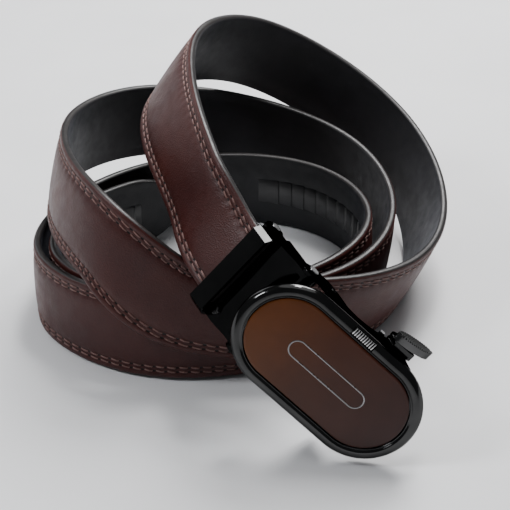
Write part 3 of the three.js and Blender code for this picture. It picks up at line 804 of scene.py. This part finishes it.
def make_outline(material):
    """Fine raised line in the shape of a long pill."""
    section = [(PILL_RADIUS + inset, z) for inset, z in PILL_LINE]
    stations = stadium_stations(PILL_STRAIGHT, PILL_SEGMENTS)
    piece = ring_on_face("pill_line", lambda x, sin: section, stations, material)
    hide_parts("inlay_outline")


def make_inlay(material):
    """Lacquered plate with a softly rounded edge."""
    stations = stadium_stations(FACE_STRAIGHT, FACE_SEGMENTS)
    points = []
    for inset, z in INLAY_EDGE:
        radius = INLAY_RADIUS - inset
        points += [(cx + radius * cos, radius * sin, z) for cx, cos, sin in stations]
    faces = grid_faces(len(INLAY_EDGE), len(stations))
    piece = new_piece("lacquer_plate", on_face(points), faces, material, "buckle")
    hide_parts("face_inlay")


def box_mesh(low, high, bevel):
    """Box between two corners with rounded edges, as a bmesh."""
    bm = bmesh.new()
    bmesh.ops.create_cube(bm, size=1)
    low, high = Vector(low), Vector(high)
    for vertex in bm.verts:
        vertex.co = Vector((c + 0.5) * (h - a) + a for c, a, h in zip(vertex.co, low, high))
    bmesh.ops.bevel(bm, geom=bm.edges, offset=bevel, segments=2, profile=0.5, affect="EDGES")
    return bm


def boxes_on_face(name, boxes, bevel, material):
    """One piece made of rounded boxes given in the buckle frame."""
    vertices, faces = [], []
    for low, high in boxes:
        bm = box_mesh(low, high, bevel)
        first = len(vertices)
        vertices += on_face([v.co for v in bm.verts])
        bm.verts.index_update()
        faces += [tuple(first + v.index for v in face.verts) for face in bm.faces]
        bm.free()
    return new_piece(name, vertices, faces, material, "buckle")


def make_rib_patch(silver, black):
    """Bright ribs standing on a dark plate in the top side of the rim."""
    low, high = RIB_PATCH
    pitch = (high - low) / RIB_COUNT
    bar_low, bar_high = RIB_BAR
    bars = []
    for i in range(RIB_COUNT):
        x = low + (i + 0.5) * pitch
        bars.append(((x - RIB_WIDTH / 2, *bar_low), (x + RIB_WIDTH / 2, *bar_high)))
    piece = boxes_on_face("rib_bars", bars, RIB_BAR_BEVEL, silver)
    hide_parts("bezel_rib_insert")
    plate_low, plate_high = RIB_PLATE
    plate = [((low, *plate_low), (high, *plate_high))]
    boxes_on_face("rib_plate", plate, RIB_PLATE_BEVEL, black)


# ---------------------------------------------------------------- machined parts
def soften(node, body, material, bevel):
    """Copy of a CAD node with small rounded edges and even shading, standing for the node."""
    bm = bmesh.new()
    bm.from_mesh(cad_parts[node].data)
    bmesh.ops.remove_doubles(bm, verts=bm.verts, dist=WELD_DISTANCE * MM)
    bmesh.ops.dissolve_limit(bm, angle_limit=FLAT_ANGLE, verts=bm.verts, edges=bm.edges)
    sharp = [e for e in bm.edges if e.is_manifold and e.calc_face_angle(0) > BEVEL_ANGLE]
    bmesh.ops.bevel(bm, geom=sharp, offset=bevel * MM, segments=2, profile=0.5,
                    affect="EDGES", clamp_overlap=True)
    shade_smooth(bm, CREASE_ANGLE)
    mesh = bpy.data.meshes.new(node + "_finished")
    bm.to_mesh(mesh)
    bm.free()
    mesh.materials.append(material)
    piece = add_object(node + "_finished", mesh)
    piece.modifiers.new("even_shading", "WEIGHTED_NORMAL").keep_sharp = True
    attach(piece, body)
    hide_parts(node)


def paint_node(node, material):
    """New material on a CAD node whose shape stays as it is."""
    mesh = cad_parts[node].data
    mesh.materials.clear()
    mesh.materials.append(material)


def make_metalwork(metal, bright):
    """Clamp, frame, lever and pins with finished edges."""
    for node, body, slot, bevel in (
        ("clamp_body", "strap", "clamp_metal", 0.3),
        ("clamp_jaw", "jaw", "jaw_metal", 0.15),
        ("buckle_frame", "buckle", "frame_metal", 0.2),
        ("tail_guide_bar", "buckle", "frame_metal", 0.12),
        ("pawl_plate", "release", "release_metal", 0.12),
        ("release_neck", "release", "release_metal", 0.2),
    ):
        soften(node, body, metal, bevel)
    knurled = gunmetal_look("knurled_nickel", tint=0.07, roughness=0.12, edge=0.36)
    soften("release_paddle", "release", knurled, 0.08)
    for node, body, bevel in (
        ("hinge_pin", "strap", 0.15), ("jaw_pin", "strap", 0.15),
        ("clamp_lock_screw", "strap", 0.08), ("release_stop_pin", "buckle", 0.08),
        ("pawl_pin", "release", 0.15),
    ):
        soften(node, body, bright, bevel)


# ---------------------------------------------------------------- studio
def make_floor():
    """Plain pale table top."""
    look = Look("studio_floor", (0.76, 0.76, 0.77), 0.8)
    tone = look.ramp(look.noise(60, 3), [(0.3, (0.74, 0.74, 0.75)), (0.7, (0.78, 0.78, 0.79))])
    look.link(tone, "Base Color")
    mesh = bpy.data.meshes.new("studio_floor")
    corners = [(x * FLOOR_HALF, y * FLOOR_HALF, 0) for x, y in ((-1, -1), (1, -1), (1, 1), (-1, 1))]
    mesh.from_pydata(corners, [], [(0, 1, 2, 3)])
    mesh.materials.append(look.material)
    floor = add_object("studio_floor", mesh)
    floor.location.z = -FLOOR_DROP


def add_lamp(name, light, place, target):
    """Lamp at a place, aimed at a target."""
    lamp = add_object(name, light)
    lamp.location = place
    lamp.rotation_euler = (target - Vector(place)).to_track_quat("-Z", "Y").to_euler()


def make_softbox(name, place, size, power, colour):
    """Square softbox aimed at the belt."""
    light = bpy.data.lights.new(name, "AREA")
    light.shape = "SQUARE"
    light.size = size
    light.energy = power
    light.color = colour
    add_lamp(name, light, place, LIGHT_TARGET)


def make_studio():
    """Pale surroundings and soft boxes."""
    world = bpy.data.worlds.new("studio")
    world.use_nodes = True
    background = world.node_tree.nodes["Background"]
    background.inputs["Color"].default_value = WORLD_COLOUR
    background.inputs["Strength"].default_value = WORLD_STRENGTH
    bpy.context.scene.world = world
    for softbox in SOFTBOXES:
        make_softbox(*softbox)
    make_overhead()


def make_overhead():
    """Wide overhead light that keeps the table evenly pale."""
    light = bpy.data.lights.new("overhead", "SUN")
    light.energy = OVERHEAD_STRENGTH
    light.angle = OVERHEAD_ANGLE
    add_lamp("overhead", light, OVERHEAD_PLACE, Vector((0, 0, 0)))


def make_camera():
    """Camera in front of the belt, looking down along +Y."""
    camera = bpy.data.cameras.new("camera")
    camera.lens = CAMERA_LENS
    camera.sensor_width = CAMERA_SENSOR
    viewer = add_object("camera", camera)
    back = Vector((0, -math.cos(CAMERA_ELEVATION), math.sin(CAMERA_ELEVATION)))
    viewer.location = (SHIFT + back * CAMERA_DISTANCE) * MM
    viewer.rotation_euler = (math.pi / 2 - CAMERA_ELEVATION, 0, 0)
    bpy.context.scene.camera = viewer


def build():
    """Camera, strap, buckle, then the studio."""
    make_camera()
    make_leather(leather_look())
    make_core(edge_look())
    make_lining(lining_look())
    make_track(track_look())
    make_stitches(thread_look())
    # Painted shade: near-black discs over the needle holes.
    make_painted_needle_hole_shade(painted_hole_shade_look())
    metal = gunmetal_look("black_chrome")
    bright = gunmetal_look("black_nickel", tint=0.14, roughness=0.14, edge=0.7)
    make_bezel(metal)
    make_outline(outline_look())
    make_inlay(inlay_look())
    make_rib_patch(gunmetal_look("rib_silver", tint=0.5, roughness=0.2, edge=1.0), metal)
    make_metalwork(gunmetal_look("black_gunmetal", edge=0.26), bright)
    pad = plastic_look("foam_tape", (0.02, 0.02, 0.02), 0.8)
    nylon = plastic_look("black_nylon", (0.02, 0.02, 0.022), 0.42)
    paint_node("inlay_pad", pad)
    paint_node("tail_wear_strip", nylon)
    bezel_rivets = [f"bezel_rivet_{i}" for i in range(1, 5)]
    strip_rivets = [f"strip_rivet_{i}" for i in range(1, 3)]
    for node in bezel_rivets + strip_rivets:
        paint_node(node, bright)
    paint_node("pawl_return_spring", gunmetal_look("spring_wire", tint=0.35, roughness=0.25))
    make_floor()
    make_studio()


build()
